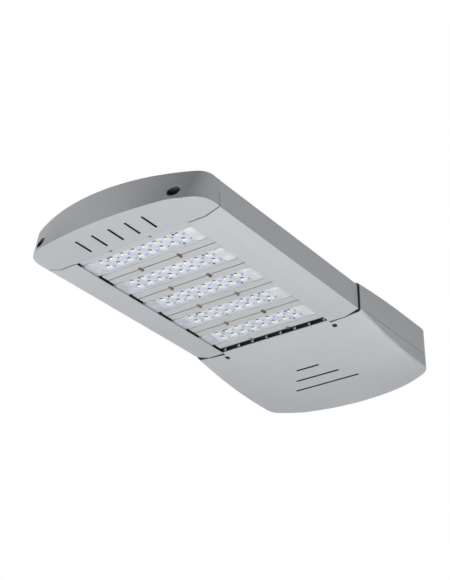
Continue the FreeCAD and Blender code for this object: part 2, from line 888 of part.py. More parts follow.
def gear_tabs(name):
    near, width, y, half = gear_bodies()[name]
    x = seam_x + near + width / 2
    tab_half = min(gear_tab_width, width) / 2
    top = tray_top - tray_thickness
    reach = half + gear_tab
    tabs = box(x - tab_half, x + tab_half, y - reach, y + reach, top - gear_tab_thickness, top)
    return tabs.cut([peg(hx, hy, top - 3, gear_screw_r + slack, 4) for hx, hy in gear_screws_of(name)])


def led_driver():
    top = tray_top - tray_thickness
    x = seam_x + driver_near
    case = box(x, x + driver_width, -driver_half, driver_half, top - driver_height, top)
    long_edges = [e for e in case.Edges if abs(e.tangentAt(e.FirstParameter).y) > 0.9]
    case = case.makeChamfer(driver_bevel, long_edges)
    return fuse([case, gear_tabs("driver")])


def terminal_block():
    top = tray_top - tray_thickness
    width, length, height = terminal_size
    x = seam_x + small_gear_near
    y = -small_gear_y
    block = box(x, x + width, y - length / 2, y + length / 2, top - height, top)
    block = fuse([block, gear_tabs("terminal")])
    wells = []
    for way in spread(terminal_ways, terminal_pitch):
        wells.append(peg(x, y + way, top - height / 2, terminal_well_r, terminal_well_depth, ahead))
        wells.append(peg(x + width, y + way, top - height / 2, terminal_well_r, terminal_well_depth, -ahead))
    return block.cut(wells)


def surge_protector():
    top = tray_top - tray_thickness
    width, length, height = surge_size
    x = seam_x + small_gear_near
    y = small_gear_y
    ring = rounded_ring(x, x + width, y - length / 2, y + length / 2, top, surge_corner_r)
    return fuse([polygon(ring, -up * height), gear_tabs("surge")])


def gear_screws():
    seat = tray_top - tray_thickness - gear_tab_thickness
    length = gear_tab_thickness + tray_thickness + gear_screw_grip - 1
    return Part.makeCompound([screw(Vector(x, y, seat), up, gear_screw_r, length, gear_screw_head_r,
                                    gear_screw_head) for x, y in gear_screw_places()])


# Fittings in the front wall

def fitting(y, r, hex_r, hex_length, cap_r, cap_length):
    z = optics_z + fitting_z
    flange = peg(seam_x, y, z, hex_r, hex_length, -ahead)
    cap = peg(seam_x - hex_length, y, z, cap_r, cap_length, -ahead, 12)
    tail = peg(seam_x, y, z, r, housing_wall + fitting_tail, ahead, 8)
    nut = peg(seam_x + housing_wall, y, z, hex_r, fitting_tail - 2, ahead)
    return fuse([flange, cap, tail, nut])


def cable_gland():
    body = fitting(gland_y, gland_r, gland_hex_r, gland_hex, gland_dome_r, gland_dome)
    return body.cut(peg(seam_x - far, gland_y, optics_z + fitting_z, gland_bore_r, 2 * far, ahead, 8))


def breather_valve():
    return fitting(valve_y, valve_r, valve_hex_r, valve_hex, valve_cap_r, valve_cap)


# Pole socket: a bored tube on two bolted feet, with set bolts that grip the pole

def set_bolt_ways():
    angle = math.radians(set_bolt_angle)
    return [Vector(0, s * math.sin(angle), -math.cos(angle)) for s in (-1, 1)]


def pole_socket():
    pieces = [rod(rear_x, 0, 0, socket_r, socket_length + socket_stop, -ahead)]
    tools = [rod(rear_x + 1, 0, 0, socket_bore_r, socket_length + 1, -ahead),
             peg(rear_x, 0, 0, socket_stop_r, socket_length + socket_stop + 1, -ahead, 12)]
    for x in foot_places:
        half = foot_length / 2
        pieces.append(box(x - half, x + half, -foot_half, foot_half, foot_bottom, foot_top))
        for s in (-1, 1):
            tools.append(peg(x, s * foot_bolt_y, foot_bottom - 1, foot_bolt_r + slack,
                             foot_top - foot_bottom + 2))
        for way in set_bolt_ways():
            start = Vector(x, 0, 0) + way * (socket_bore_r + 1)
            pieces.append(peg(start.x, start.y, start.z, set_boss_r, socket_wall + set_boss_height - 1,
                              way, 8))
            inner = Vector(x, 0, 0) + way * (socket_bore_r - 2)
            tools.append(peg(inner.x, inner.y, inner.z, set_bolt_r + thread_gap,
                             socket_wall + set_boss_height + 3, way, 8))
    return fuse(pieces).cut(tools)


def socket_bolts():
    length = foot_top - foot_bottom + foot_bolt_grip - 1
    return Part.makeCompound([screw(Vector(x, s * foot_bolt_y, foot_bottom), up, foot_bolt_r, length,
                                    foot_bolt_head_r, foot_bolt_head, 6)
                              for x in foot_places for s in (-1, 1)])


def set_bolts():
    bolts = []
    for x in foot_places:
        for way in set_bolt_ways():
            tip = socket_bore_r + thread_gap
            seat = socket_r + set_boss_height + set_bolt_stand
            place = Vector(x, 0, 0) + way * seat
            head = peg(place.x, place.y, place.z, set_bolt_head_r, set_bolt_head, way)
            shank = peg(place.x, place.y, place.z, set_bolt_r, seat - tip, -way, 8)
            bolts.append(fuse([head, shank]))
    return Part.makeCompound(bolts)


def build():
    os.makedirs("parts", exist_ok=True)
    save("nose_cap", nose_cap())
    save("nose_screws", nose_screws())
    save("rail_left", rail(1))
    save("rail_right", rail(-1))
    for k in range(1, module_count):
        save("cross_bar_%d" % k, cross_bar(k))
    save("bar_screws", bar_screws())
    for k in range(module_count):
        save("module_%d_heatsink" % (k + 1), heatsink(k))
        save("module_%d_board" % (k + 1), board(k))
        save("module_%d_emitters" % (k + 1), emitters(k))
        save("module_%d_gasket" % (k + 1), lens_gasket(k))
        save("module_%d_lens" % (k + 1), lens_plate(k))
    save("module_screws", module_screws())
    save("vent_grille", vent_grille())
    save("front_seal", front_seal())
    save("driver_housing", driver_housing())
    save("driver_cover", driver_cover())
    save("cover_gasket", cover_gasket())
    save("cover_screws", cover_screws())
    save("housing_screws", housing_screws())
    save("gear_tray", gear_tray())
    save("tray_screws", tray_screws())
    save("led_driver", led_driver())
    save("terminal_block", terminal_block())
    save("surge_protector", surge_protector())
    save("gear_screws", gear_screws())
    save("cable_gland", cable_gland())
    save("breather_valve", breather_valve())
    save("pole_socket", pole_socket())
    save("socket_bolts", socket_bolts())
    save("set_bolts", set_bolts())


build()
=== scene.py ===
import math

import bpy
from mathutils import Matrix, Vector


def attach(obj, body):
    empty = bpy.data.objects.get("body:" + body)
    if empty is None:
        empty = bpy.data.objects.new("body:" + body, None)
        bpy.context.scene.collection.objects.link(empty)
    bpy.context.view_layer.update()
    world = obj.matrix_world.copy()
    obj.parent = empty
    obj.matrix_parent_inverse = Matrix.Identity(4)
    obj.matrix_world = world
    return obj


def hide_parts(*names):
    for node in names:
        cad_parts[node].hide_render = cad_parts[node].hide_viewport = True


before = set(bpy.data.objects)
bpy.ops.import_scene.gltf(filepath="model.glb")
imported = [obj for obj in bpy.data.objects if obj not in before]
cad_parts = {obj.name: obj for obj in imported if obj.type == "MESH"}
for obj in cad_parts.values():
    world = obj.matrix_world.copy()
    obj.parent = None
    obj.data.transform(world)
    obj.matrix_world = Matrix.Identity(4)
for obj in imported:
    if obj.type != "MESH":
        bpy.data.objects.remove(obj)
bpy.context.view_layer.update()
print("frame loaded:", len(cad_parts), "nodes")

# places that the pieces share, in metres

head = {
    "opticsHeight": -0.014,     # chip plane of the light modules
    "arrayStart": -0.6485,      # front edge of the first module
    "modulePitch": 0.073,
    "modules": 5,
    "rowPitch": 0.017,
    "lensPitch": 0.020,
    "columns": 8,
}


# nodes and shader maths

class Field:
    # a socket whose arithmetic adds Math nodes
    def __init__(self, finish, socket):
        self.finish = finish
        self.socket = socket

    def maths(self, operation, *others):
        inputs = dict(enumerate((self,) + others))
        return self.finish.add("ShaderNodeMath", {"operation": operation}, inputs)

    def __add__(self, other):
        return self.maths("ADD", other)

    def __radd__(self, other):
        return self.maths("ADD", other)

    def __sub__(self, other):
        return self.maths("SUBTRACT", other)

    def __rsub__(self, other):
        return self.finish.add("ShaderNodeMath", {"operation": "SUBTRACT"}, {0: other, 1: self})

    def __mul__(self, other):
        return self.maths("MULTIPLY", other)

    def __truediv__(self, other):
        return self.maths("DIVIDE", other)


class NodeMaker:
    # adds nodes to one tree
    def __init__(self, tree):
        self.tree = tree

    def add(self, kind, settings, inputs, output=0):
        node = self.tree.nodes.new(kind)
        for key, value in settings.items():
            setattr(node, key, value)
        self.feed(node, inputs)
        return Field(self, node.outputs[output])

    def feed(self, node, inputs):
        for key, value in inputs.items():
            if isinstance(value, Field):
                self.tree.links.new(value.socket, node.inputs[key])
            else:
                node.inputs[key].default_value = value


class Finish(NodeMaker):
    # one material and the nodes that make it
    def __init__(self, name):
        self.material = bpy.data.materials.new(name)
        self.material.use_nodes = True
        super().__init__(self.material.node_tree)
        self.shader = self.tree.nodes["Principled BSDF"]
        self.place = self.add("ShaderNodeTexCoord", {}, {}, "Object")

    def noise(self, scale, detail=2.0, roughness=0.5):
        inputs = {"Vector": self.place, "Scale": scale, "Detail": detail, "Roughness": roughness}
        return self.add("ShaderNodeTexNoise", {}, inputs, "Fac")

    def mix(self, factor, first, second):
        settings = {"data_type": "RGBA", "blend_type": "MIX"}
        return self.add("ShaderNodeMix", settings, {0: factor, 6: first, 7: second}, 2)

    def step(self, value, low, high):
        # 0 below low, 1 above high, smooth between them
        settings = {"interpolation_type": "SMOOTHSTEP"}
        inputs = {"Value": value, "From Min": low, "From Max": high}
        return self.add("ShaderNodeMapRange", settings, inputs)

    def within(self, value, low, high, soft=0.0001):
        # 1 between low and high, 0 outside them
        past = self.step(value, high - soft, high + soft)
        return self.step(value, low - soft, low + soft) * (1 - past)

    def bump(self, height, strength, distance):
        inputs = {"Height": height, "Strength": strength, "Distance": distance}
        return self.add("ShaderNodeBump", {}, inputs, "Normal")

    def axes(self):
        split = self.add("ShaderNodeSeparateXYZ", {}, {0: self.place})
        node = split.socket.node
        return [Field(self, node.outputs[i]) for i in range(3)]

    def shade(self, **inputs):
        names = {key.replace("_", " "): value for key, value in inputs.items()}
        self.feed(self.shader, names)
        return self.material


def tone(r, g, b):
    # colour as seen on a screen, 0 to 255, turned into shader values
    parts = [v / 255 for v in (r, g, b)]
    linear = [v / 12.92 if v < 0.0404 else ((v + 0.055) / 1.055) ** 2.4 for v in parts]
    return (*linear, 1)


powderCoat = {
    "light": (202, 205, 209),
    "dark": (188, 191, 195),
    # painted shade laid in slots, tunnels, holes and on the rails' inner walls
    "recess": (9, 27, 31),
    # painted light where the edges and upper walls of recesses would catch light
    "paintedRecessLight": (226, 229, 232),
    "seam": (58, 63, 67),
    "speck": (158, 161, 166),
    "speckScale": 420,
    "speckStrength": 0.18,
    "driftScale": 5,            # slow change of tone over the head
    # painted shade: the tone falls along the head towards the rear and across it towards the far side
    "paintedShadeAlong": 0.7,
    "paintedShadeAcross": 1.0,
    "driftAndShadeRange": (0.15, 0.8),
    "peelScale": 900,
    "peelStrength": 0.16,
    "roughness": 0.46,
}


# shift lifts the coat's tone for one part as painted light, and lowers it as painted shade
def powderCoatFinish(name, shift=0, marks=None):
    # marks is given the finish and its axes, and returns three amounts: painted shade in recesses,
    # painted light on their edges, and dark seams that on the cover also carry painted shade
    finish = Finish(name)
    x, y, z = finish.axes()
    driftAndShade = finish.noise(powderCoat["driftScale"], 3, 0.6) * 0.5
    # random drift of tone, plus painted shade that darkens the coat towards the rear and the far side
    driftAndShade = driftAndShade - x * powderCoat["paintedShadeAlong"] - y * powderCoat["paintedShadeAcross"]
    light = tone(*[v + shift for v in powderCoat["light"]])
    dark = tone(*[v + shift for v in powderCoat["dark"]])
    colour = finish.mix(finish.step(driftAndShade, *powderCoat["driftAndShadeRange"]), dark, light)
    speck = finish.step(finish.noise(powderCoat["speckScale"], 1), 0.68, 0.8)
    colour = finish.mix(speck * powderCoat["speckStrength"], colour, tone(*powderCoat["speck"]))
    if marks:
        recess, paintedLight, seam = marks(finish, x, y, z)
        # dark joints; on the cover the seam colour also lays painted shade
        colour = finish.mix(seam, colour, tone(*powderCoat["seam"]))
        # recesses painted dark as painted shade, with painted light on their lit edges
        inside = finish.mix(paintedLight, tone(*powderCoat["recess"]), tone(*powderCoat["paintedRecessLight"]))
        colour = finish.mix(recess, colour, inside)
    peel = finish.noise(powderCoat["peelScale"], 2, 0.6)
    rough = powderCoat["roughness"] + finish.noise(70, 2) * 0.08
    return finish.shade(Base_Color=colour, Roughness=rough,
                        Normal=finish.bump(peel, powderCoat["peelStrength"], 0.0003))


# places on the castings and rails that the finish marks, in metres
castings = {
    "soft": 0.0002,             # half width of a mark's soft edge
    "noseSeam": -0.645,
    "underside": -0.0194,
    "noseTop": 0.030,
    "slotsX": (-0.6957, -0.6602),
    "slotPitch": 0.030,
    "slotHalf": 0.0021,
    "slotsY": 0.066,
    "tunnelY": 0.121,
    "tunnelZ": -0.004,
    "tunnelRadius": 0.0095,
    "tunnelMouth": (-0.692, -0.676),
    "tunnelPaintedLight": 0.35,
    "tunnelRim": (0.0099, 0.0115),
    "railInner": 0.1037,
    "seamFade": (0.004, 0.018), # heights between which the nose seam fades
    "seamReach": 0.0012,
    "wallShade": (-0.0188, -0.0180),
    "wallPaintedLight": 0.3,
    "farReach": 0.0008,         # how much wider the rear seam is on the far half
    "railEnd": -0.268,
    "capHalf": 0.0188,
    "capShade": 0.4,            # of the rail's inner wall beside a cap
    "coverSlots": ((-0.169, 0.0212), (-0.138, 0.0412), (-0.107, 0.0617)),
    "coverSlotHalf": 0.0021,
    "coverSlotPast": 0.0015,    # the slots' painted shade reaches a little further at one end
    "coverScrew": (-0.255, 0.105),
    "coverHoleRadius": 0.0044,
    "coverHolePaintedLight": 0.12,
    "coverSeam": -0.266,
    "coverRim": -0.0106,
    "coverRimShade": 0.7,
    # painted shade towards the near rear corner of the cover: its strength and reach
    "paintedCornerShade": 0.11,
    "cornerShadeAlong": (-0.17, -0.02),
    "cornerShadeAcross": (-0.02, 0.13),
}


def below(finish, value, limit):
    # 1 under the limit
    return 1 - finish.step(value, limit - castings["soft"], limit + castings["soft"])


def besideRail(finish, side):
    # 1 where a rail meets the casting, 0 between the rails
    return finish.step(side, castings["railInner"] - 0.0005, castings["railInner"] + 0.0005)


def noseMarks(finish, x, y, z):
    side = y.maths("ABSOLUTE")
    pitch = castings["slotPitch"]
    toSlot = ((y + pitch / 2).maths("FLOORED_MODULO", pitch) - pitch / 2).maths("ABSOLUTE")
    slot = below(finish, toSlot, castings["slotHalf"])
    inner = finish.step(z, castings["underside"] + 0.0003, castings["underside"] + 0.0006)
    underTop = 1 - finish.step(z, castings["noseTop"], castings["noseTop"] + 0.0005)
    inRow = 1 - finish.step(side, castings["slotsY"], castings["slotsY"] + 0.0005)
    # painted shade in the slots and across their mouths
    slots = finish.within(x, *castings["slotsX"]) * slot.maths("MAXIMUM", inner) * underTop * inRow
    dy = side - castings["tunnelY"]
    dz = z - castings["tunnelZ"]
    far = (dy * dy + dz * dz).maths("SQRT")
    # painted shade in each tunnel and on the face around its mouth
    tunnels = below(finish, far, castings["tunnelRadius"])
    # painted light: the upper wall of a tunnel near its mouth, and the rim above it, are painted
    # lighter where they would catch light
    mouth = 1 - finish.step(x, *castings["tunnelMouth"])
    paintedLight = finish.step(dz, 0.001, 0.009) * mouth * tunnels * castings["tunnelPaintedLight"]
    rim = finish.within(far, *castings["tunnelRim"]) * finish.step(dz, 0.0, 0.007)
    start = castings["noseSeam"] - castings["seamReach"]
    seam = finish.step(x, start, start + 0.0004) * besideRail(finish, side)
    seam = seam * (1 - finish.step(z, *castings["seamFade"]))
    return slots.maths("MAXIMUM", tunnels).maths("MAXIMUM", rim), paintedLight.maths("MAXIMUM", rim), seam


def railMarks(finish, x, y, z):
    # painted shade on the rail's inner wall: full in the notches between the caps, partial beside a
    # cap, which also gets some painted light
    wall = 1 - finish.step(y.maths("ABSOLUTE"), castings["railInner"], castings["railInner"] + 0.0001)
    wall = wall * finish.step(z, *castings["wallShade"])
    pitch = head["modulePitch"]
    inModule = (x - head["arrayStart"]).maths("FLOORED_MODULO", pitch) - pitch / 2
    reach = castings["capHalf"]
    notch = finish.step(inModule.maths("ABSOLUTE"), reach - 0.001, reach + 0.001)
    end = castings["noseSeam"] + castings["seamReach"]
    front = 1 - finish.step(x, end - 0.0004, end)
    front = front * (1 - finish.step(z, *castings["seamFade"]))
    shifted = x + finish.step(y, -0.01, 0.01) * castings["farReach"]
    rear = finish.step(shifted, castings["railEnd"] - 0.0012, castings["railEnd"] - 0.0007)
    shade = castings["capShade"] + notch * (1 - castings["capShade"])
    paintedLight = (1 - notch) * castings["wallPaintedLight"]
    return wall * shade, paintedLight, front.maths("MAXIMUM", rear)


def coverMarks(finish, x, y, z):
    side = y.maths("ABSOLUTE")
    reach = castings["coverSlotHalf"]
    slots = 0
    # painted shade in the slots, reaching a little past their far end
    for slotX, half in castings["coverSlots"]:
        across = finish.within(x, slotX - reach, slotX + reach)
        along = finish.within(y, -half, half + castings["coverSlotPast"])
        slots = across * along + slots
    screwX, screwY = castings["coverScrew"]
    dx = x - screwX
    dy = side - screwY
    far = (dx * dx + dy * dy).maths("SQRT")
    # painted shade in the screw holes, lifted a little by painted light
    holes = below(finish, far, castings["coverHoleRadius"])
    shifted = x - finish.step(y, -0.01, 0.01) * castings["farReach"]
    front = 1 - finish.step(shifted, castings["coverSeam"] + 0.0013, castings["coverSeam"] + 0.0018)
    front = front * besideRail(finish, side)
    # painted shade on the cover above its rim
    rim = finish.step(z, castings["coverRim"], castings["coverRim"] + 0.0002)
    # painted shade towards the near rear corner
    paintedCornerShade = finish.step(x, *castings["cornerShadeAlong"]) * finish.step(0 - y, *castings["cornerShadeAcross"])
    # the seam colour carries the dark front joint and the painted shade
    seam = front.maths("MAXIMUM", rim * castings["coverRimShade"])
    seam = seam.maths("MAXIMUM", paintedCornerShade * castings["paintedCornerShade"])
    return slots.maths("MAXIMUM", holes), holes * castings["coverHolePaintedLight"], seam


anodised = {
    "light": (213, 215, 217),
    "dark": (202, 204, 207),
    "seam": (76, 82, 84),
    "seamHalf": 0.0009,
    "seamStrength": 0.85,
    "lineScale": 1400,
    "roughness": 0.42,
    "metallic": 0.12,
}


def anodisedFinish(name, seams=False):
    # satin extrusion: faint die lines run along the profile, which lies across the head
    finish = Finish(name)
    stretched = finish.add("ShaderNodeMapping", {}, {"Vector": finish.place, "Scale": (1, 0.01, 1)})
    inputs = {"Vector": stretched, "Scale": anodised["lineScale"], "Detail": 2}
    lines = finish.add("ShaderNodeTexNoise", {}, inputs, "Fac")
    dark = tone(*anodised["dark"])
    colour = finish.mix(finish.step(lines, 0.3, 0.7), dark, tone(*anodised["light"]))
    if seams:
        # dark edge where two modules meet
        x, y, z = finish.axes()
        pitch = head["modulePitch"]
        edge = (x - head["arrayStart"] + pitch / 2).maths("FLOORED_MODULO", pitch) - pitch / 2
        half = anodised["seamHalf"]
        band = 1 - finish.step(edge.maths("ABSOLUTE"), half - 0.0003, half + 0.0003)
        behindFirst = finish.step(x, head["arrayStart"] + 0.01, head["arrayStart"] + 0.02)
        band = band * behindFirst * anodised["seamStrength"]
        colour = finish.mix(band, colour, tone(*anodised["seam"]))
    rough = anodised["roughness"] + finish.noise(90, 2) * 0.1
    return finish.shade(Base_Color=colour, Roughness=rough, Metallic=anodised["metallic"],
                        Normal=finish.bump(lines, 0.08, 0.0002))


bareMetal = {"roughness": 0.34, "scratchScale": 700}


def bareMetalFinish(name, light, dark, metallic=0.9):
    finish = Finish(name)
    scratch = finish.noise(bareMetal["scratchScale"], 3, 0.7)
    patch = finish.noise(60, 2)
    colour = finish.mix(finish.step(patch, 0.35, 0.65), tone(*dark), tone(*light))
    rough = bareMetal["roughness"] + scratch * 0.22
    return finish.shade(Base_Color=colour, Roughness=rough, Metallic=metallic,
                        Normal=finish.bump(scratch, 0.12, 0.0002))


def mouldedFinish(name, light, dark, roughness):
    # moulded plastic or rubber with a fine grain
    finish = Finish(name)
    grain = finish.noise(1100, 2, 0.6)
    patch = finish.noise(35, 2)
    colour = finish.mix(finish.step(patch, 0.3, 0.7), tone(*dark), tone(*light))
    return finish.shade(Base_Color=colour, Roughness=roughness + grain * 0.12,
                        Normal=finish.bump(grain, 0.2, 0.0002))


# rib grille behind the last module

grille = {
    "ribPitch": 0.0275,
    # painted light on the rib middles, painted shade over the rest
    "light": (206, 209, 213),
    "shade": ((9, 27, 31), (17, 38, 42)),
    "litHalf": 0.0017,
    "litX": (-0.2765, -0.2728),
    "litSoft": 0.0008,
    "litBelow": -0.0128,
}


def grilleFinish(name):
    # painted shade darkens the grille in the gap, and painted light marks the middle of each rib where
    # it would catch light
    finish = Finish(name)
    x, y, z = finish.axes()
    pitch = grille["ribPitch"]
    toRib = (y.maths("FLOORED_MODULO", pitch) - pitch / 2).maths("ABSOLUTE")
    paintedLight = below(finish, toRib, grille["litHalf"]) * finish.within(x, *grille["litX"], grille["litSoft"])
    paintedLight = paintedLight * (1 - finish.step(z, grille["litBelow"] - 0.0002, grille["litBelow"]))
    grain = finish.noise(900, 2, 0.6)
    shade = finish.mix(grain, *[tone(*v) for v in grille["shade"]])
    colour = finish.mix(paintedLight, shade, tone(*grille["light"]))
    return finish.shade(Base_Color=colour, Roughness=0.5 + grain * 0.1,
                        Normal=finish.bump(grain, 0.16, 0.0003))


# lens plates

lensPlate = {
    "halfWidth": 0.0165,
    "halfLength": 0.1016,
    "face": 0.0016,             # how far the plate's face lies under the chips
    "top": 0.0020,
    "domeWidth": 0.0128,
    "domeLength": 0.0146,
    "domeHeight": 0.0044,
    "capStart": 0.0810,
    "capEnd": 0.1032,
    "capHalf": 0.0186,
    "capFace": 0.0036,
    "capTop": -0.0014,
    "capCorner": 0.0070,
    "capBevel": 0.0013,
    "capRim": 0.0045,
    "capCrown": 0.0005,         # how far the middle of a cap stands proud
    "domeFlat": 0.0004,
    "edge": 0.0009,
}


lensFinish = {
    "plate": (225, 230, 243),
    "plateShade": (211, 217, 231),
    "lean": (1.531, 1.087),     # how far a mark leans along X and Y with its height
    "rimX": 0.0160,
    "rimY": 0.0795,
    # each mark: colour, strength, place from the lens centre in mm,
    # half length and half width in mm, turn in degrees
    "marks": (
        # in order: a faint ring of painted shade, a painted dark reflection, a pale painted reflection
        # at the rim, a painted highlight, and the chip seen through the lens
        ((200, 207, 222), 0.5, (-2.6, 0.6), 7.4, 6.0, 90),
        ((42, 68, 88), 0.95, (-6.2, 1.3), 2.9, 1.7, -64),
        ((140, 156, 184), 0.85, (1.2, -6.2), 3.9, 1.1, 56),
        ((255, 255, 255), 1.0, (-1.8, 4.3), 3.0, 2.2, 34),
        ((246, 240, 176), 1.0, (-2.0, -1.0), 4.6, 1.35, 26),
    ),
    "capStart": 0.0815,
    "capFade": (0.0945, 0.1025),
    "capFadeStrength": 0.6,
    "capEdge": (180, 183, 190),
    "capFarPaintedShade": ((213, 213, 223), (196, 197, 206)),
    "capNearPaintedLight": ((235, 237, 240), (220, 223, 227)),
}


def blob(finish, dx, dy, place, long, wide, turn):
    # soft oval, 1 inside and 0 outside
    along = math.cos(math.radians(turn))
    across = math.sin(math.radians(turn))
    ax = dx - place[0]
    ay = dy - place[1]
    a = (ax * along + ay * across) / long
    b = (ay * along - ax * across) / wide
    return 1 - finish.step(a * a + b * b, 0.5, 1.5)


def clearPlateFinish(name):
    # clear moulding painted with the chip in each lens, a painted highlight, painted reflections and a
    # faint ring of painted shade, and clouded caps at the ends
    finish = Finish(name)
    x, y, z = finish.axes()
    lift = z - (head["opticsHeight"] - lensPlate["face"])
    seenX = x - lift * lensFinish["lean"][0]
    seenY = y - lift * lensFinish["lean"][1]
    pitch = head["modulePitch"]
    inModule = (seenX - head["arrayStart"]).maths("FLOORED_MODULO", pitch) - pitch / 2
    inRow = (inModule.maths("FLOORED_MODULO", head["rowPitch"]) - head["rowPitch"] / 2) * 1000
    inColumn = (seenY.maths("FLOORED_MODULO", head["lensPitch"]) - head["lensPitch"] / 2) * 1000
    cloud = finish.noise(45, 2)
    shade = tone(*lensFinish["plateShade"])
    colour = finish.mix(finish.step(cloud, 0.3, 0.7), shade, tone(*lensFinish["plate"]))
    rimX, rimY = lensFinish["rimX"], lensFinish["rimY"]
    onPlate = 1 - finish.step(inModule.maths("ABSOLUTE"), rimX, rimX + 0.001)
    onPlate = onPlate * (1 - finish.step(seenY.maths("ABSOLUTE"), rimY, rimY + 0.001))
    for paint, strength, place, long, wide, turn in lensFinish["marks"]:
        mark = blob(finish, inRow, inColumn, place, long, wide, turn)
        colour = finish.mix(mark * onPlate * strength, colour, tone(*paint))
    side = y.maths("ABSOLUTE")
    inCap = finish.step(side, lensFinish["capStart"] - 0.0004, lensFinish["capStart"] + 0.0004)
    milk = finish.step(finish.noise(75, 1), 0.38, 0.62)
    near = finish.mix(milk, tone(*lensFinish["capNearPaintedLight"][1]), tone(*lensFinish["capNearPaintedLight"][0]))
    far = finish.mix(milk, tone(*lensFinish["capFarPaintedShade"][1]), tone(*lensFinish["capFarPaintedShade"][0]))
    # the far caps take the darker colours as painted shade, the near caps the lighter as painted light
    cap = finish.mix(finish.step(y, -0.01, 0.01), near, far)
    fade = finish.step(side, *lensFinish["capFade"]) * lensFinish["capFadeStrength"]
    cap = finish.mix(fade, cap, tone(*lensFinish["capEdge"]))
    colour = finish.mix(inCap, colour, cap)
    rough = 0.14 + inCap * 0.22
    return finish.shade(Base_Color=colour, Roughness=rough, IOR=1.49, Coat_Weight=0.2,
                        Normal=finish.bump(finish.noise(260, 2), 0.05, 0.0003))


# steps that every new piece uses

def clearSelection():
    bpy.ops.object.select_all(action="DESELECT")


def settle(piece):
    # place and size go into the mesh
    clearSelection()
    piece.select_set(True)
    bpy.context.view_layer.objects.active = piece
    bpy.ops.object.transform_apply(location=True, rotation=True, scale=True)
    return piece


def addCube(name, low, high):
    clearSelection()
    centre = [(a + b) / 2 for a, b in zip(low, high)]
    size = [b - a for a, b in zip(low, high)]
    bpy.ops.mesh.primitive_cube_add(size=1, location=centre, scale=size)
    piece = bpy.context.object
    piece.name = name
    return settle(piece)


def selectEdges(piece, test):
    # test is given both ends of each edge
    mesh = piece.data
    bpy.ops.object.mode_set(mode="EDIT")
    bpy.ops.mesh.select_mode(type="EDGE")
    bpy.ops.mesh.select_all(action="DESELECT")
    bpy.ops.object.mode_set(mode="OBJECT")
    for edge in mesh.edges:
        a, b = (mesh.vertices[i].co for i in edge.vertices)
        edge.select = test(a, b)
    bpy.ops.object.mode_set(mode="EDIT")


def selectFaces(piece, test):
    # test is given each face's centre and normal
    bpy.ops.object.mode_set(mode="EDIT")
    bpy.ops.mesh.select_mode(type="FACE")
    bpy.ops.mesh.select_all(action="DESELECT")
    bpy.ops.object.mode_set(mode="OBJECT")
    for face in piece.data.polygons:
        face.select = test(face.center, face.normal)
    bpy.ops.object.mode_set(mode="EDIT")


def bevelEdges(piece, width, segments, test):
    selectEdges(piece, test)
    bpy.ops.mesh.bevel(offset=width, offset_type="OFFSET", segments=segments, affect="EDGES")
    bpy.ops.object.mode_set(mode="OBJECT")


def copyOf(piece, name, shift):
    twin = piece.copy()
    twin.data = piece.data.copy()
    twin.name = name
    twin.data.transform(Matrix.Translation(shift))
    bpy.context.collection.objects.link(twin)
    return twin


def joined(name, pieces):
    clearSelection()
    for piece in pieces:
        piece.select_set(True)
    bpy.context.view_layer.objects.active = pieces[0]
    bpy.ops.object.join()
    whole = bpy.context.object
    whole.name = name
    whole.data.name = name
    return whole


def smooth(piece, angle):
    clearSelection()
    piece.select_set(True)
    bpy.context.view_layer.objects.active = piece
    bpy.ops.object.shade_smooth_by_angle(angle=math.radians(angle))


def upright(a, b):
    # edge that runs straight up
    return abs(a.z - b.z) > 1e-4 and abs(a.x - b.x) < 1e-5 and abs(a.y - b.y) < 1e-5


def makeDome(place):
    # lower half of a ball, its tip pressed a little flat
    clearSelection()
    size = (lensPlate["domeWidth"], lensPlate["domeLength"], 2 * lensPlate["domeHeight"])
    bpy.ops.mesh.primitive_uv_sphere_add(segments=24, ring_count=14, radius=0.5,
                                         location=place, scale=size)
    dome = settle(bpy.context.object)
    bpy.ops.object.mode_set(mode="EDIT")
    bpy.ops.mesh.select_all(action="SELECT")
    cut = (place[0], place[1], place[2] + 0.0002)
    bpy.ops.mesh.bisect(plane_co=cut, plane_no=(0, 0, 1), clear_outer=True, use_fill=True)
    bpy.ops.object.mode_set(mode="OBJECT")
    selectFaces(dome, lambda centre, normal: centre.z < place[2] - 0.8 * lensPlate["domeHeight"])
    bpy.ops.transform.translate(value=(0, 0, lensPlate["domeFlat"]))
    bpy.ops.object.mode_set(mode="OBJECT")
    return dome


def makeCap(centreX, side):
    z = head["opticsHeight"]
    ends = sorted((side * lensPlate["capStart"], side * lensPlate["capEnd"]))
    low = (centreX - lensPlate["capHalf"], ends[0], z - lensPlate["capFace"])
    high = (centreX + lensPlate["capHalf"], ends[1], z + lensPlate["capTop"])
    cap = addCube("cap", low, high)
    bevelEdges(cap, lensPlate["capCorner"], 6, upright)
    bevelEdges(cap, lensPlate["capBevel"], 3, lambda a, b: a.z < low[2] + 1e-5 and b.z < low[2] + 1e-5)
    selectFaces(cap, lambda centre, normal: normal.z < -0.99)
    bpy.ops.mesh.inset(thickness=lensPlate["capRim"], depth=0)
    bpy.ops.transform.translate(value=(0, 0, -lensPlate["capCrown"]))
    bpy.ops.object.mode_set(mode="OBJECT")
    return cap


def makeLensPlate(centreX):
    z = head["opticsHeight"]
    half = lensPlate["halfWidth"]
    long = lensPlate["halfLength"]
    low = (centreX - half, -long, z - lensPlate["face"])
    high = (centreX + half, long, z + lensPlate["top"])
    plate = addCube("plate", low, high)
    bevelEdges(plate, lensPlate["edge"], 2, lambda a, b: a.z < z and b.z < z)
    pieces = [plate, makeCap(centreX, 1), makeCap(centreX, -1)]
    first = (centreX - head["rowPitch"] / 2, -3.5 * head["lensPitch"], z - lensPlate["face"])
    dome = makeDome(first)
    for row in range(2):
        for column in range(head["columns"]):
            shift = (row * head["rowPitch"], column * head["lensPitch"], 0)
            pieces.append(copyOf(dome, "dome", shift))
    bpy.data.objects.remove(dome)
    whole = joined("lensPlate1", pieces)
    smooth(whole, 50)
    return whole


